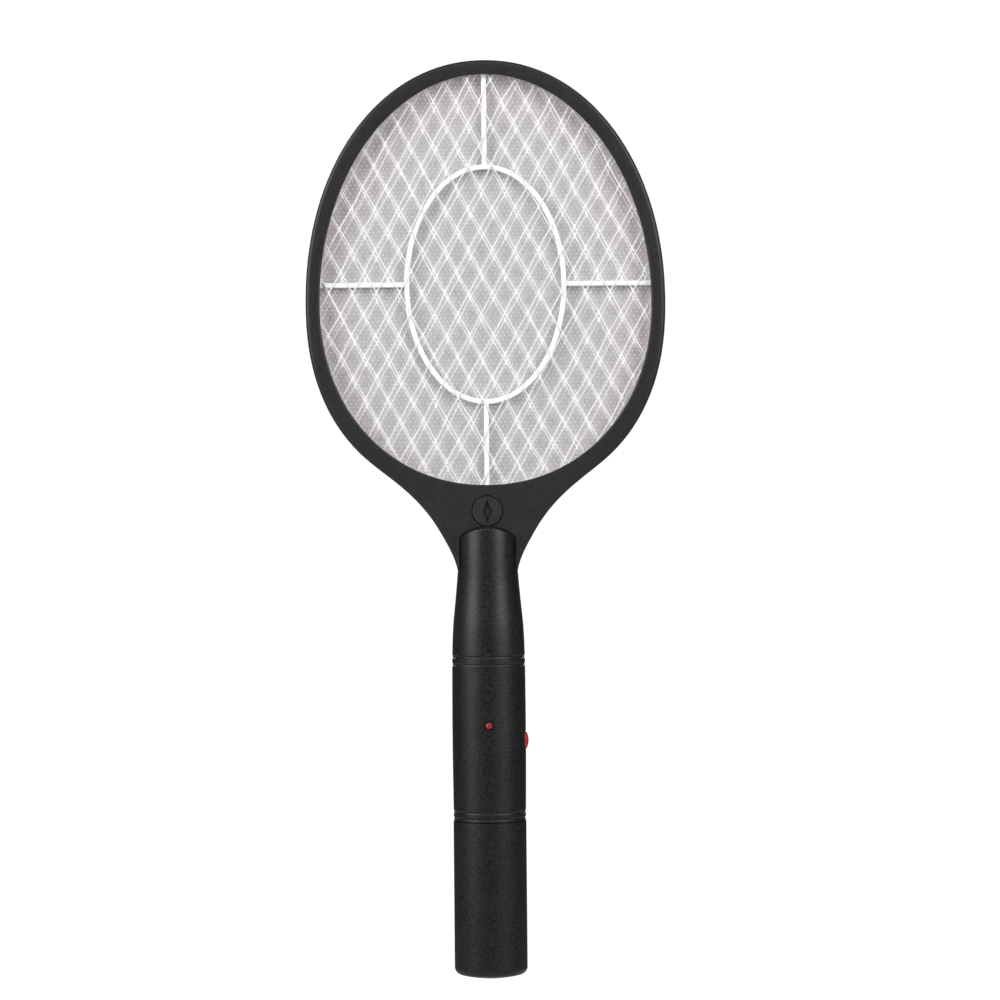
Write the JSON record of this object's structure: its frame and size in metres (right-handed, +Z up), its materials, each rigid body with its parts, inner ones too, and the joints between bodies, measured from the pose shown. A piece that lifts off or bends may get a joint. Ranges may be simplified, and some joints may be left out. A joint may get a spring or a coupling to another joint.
{
  "type": "electric fly swatter",
  "caption": "Battery electric fly swatter: egg-shaped netted head with a white oval support, round handle with side push button, lamp and pull-off tail sleeve.",
  "frame": {"origin": "on the handle's axis, level with the centre of the push button", "axes": "+Z up the handle towards the head; -Y out of the front face; +X out of the push button"},
  "size_m": [0.1724, 0.0363, 0.4401],
  "materials": {
    "black_plastic": "moulded black, satin",
    "grip_plastic": "fine-grained matte black",
    "coarse_net": "bright expanded metal",
    "charged_net": "fine woven-look expanded metal",
    "white_plastic": "moulded white",
    "red_plastic": "moulded red",
    "red_lens": "tinted epoxy",
    "board_laminate": "paper laminate",
    "ferrite": "sintered dark grey",
    "coil_tape": "yellow tape over copper",
    "film_capacitor": "dipped brown",
    "ceramic_capacitor": "dipped blue",
    "component_black": "moulded",
    "resistor_body": "lacquered tan",
    "tinned_wire": "tinned",
    "red_wire": "insulated",
    "black_wire": "insulated",
    "contact_metal": "nickel plated",
    "cradle_plastic": "moulded",
    "cell_jacket": "printed sleeve",
    "screw_steel": "zinc plated"
  },
  "bodies": {
    "racket": {"front_frame": "black_plastic", "rear_frame": "black_plastic", "front_net": "coarse_net", "rear_net": "coarse_net", "centre_net": "charged_net", "front_spacer": "white_plastic", "rear_spacer": "white_plastic", "neck_badge": "black_plastic", "front_handle": "grip_plastic", "rear_handle": "grip_plastic", "indicator_lamp": "red_lens", "circuit_board": "board_laminate", "transformer_core": "ferrite", "transformer_coil": "coil_tape", "output_capacitor": "film_capacitor", "multiplier_capacitors": "ceramic_capacitor", "rectifier_diodes": "component_black", "switching_transistor": "component_black", "resistors": "resistor_body", "switch_case": "component_black", "lamp_leads": "tinned_wire", "charged_net_lead": "red_wire", "earth_net_lead": "black_wire", "net_terminals": "contact_metal", "battery_cradle": "cradle_plastic", "battery_cells": "cell_jacket", "battery_contacts": "contact_metal", "battery_springs": "contact_metal", "battery_bridge": "contact_metal", "battery_leads": "red_wire", "handle_screws": "screw_steel", "frame_screws": "screw_steel"},
    "button": {"push_button": "red_plastic"},
    "plunger": {"switch_plunger": "white_plastic"},
    "sleeve": {"tail_sleeve": "grip_plastic"}
  },
  "joints": [
    {"name": "button_press", "type": "slide", "parent": "racket", "child": "button", "axis": [-1, 0, 0], "range_m": [0, 0.0012], "stiffness_N_per_m": 400},
    {"name": "plunger_press", "type": "slide", "parent": "racket", "child": "plunger", "axis": [-1, 0, 0], "range_m": [0, 0.0012]},
    {"name": "sleeve_pull", "type": "slide", "parent": "racket", "child": "sleeve", "axis": [0, 0, -1], "range_m": [0, 0.07]}
  ],
  "couplings": [
    {"joint": "plunger_press", "follows": "button_press", "ratio": 1}
  ]
}
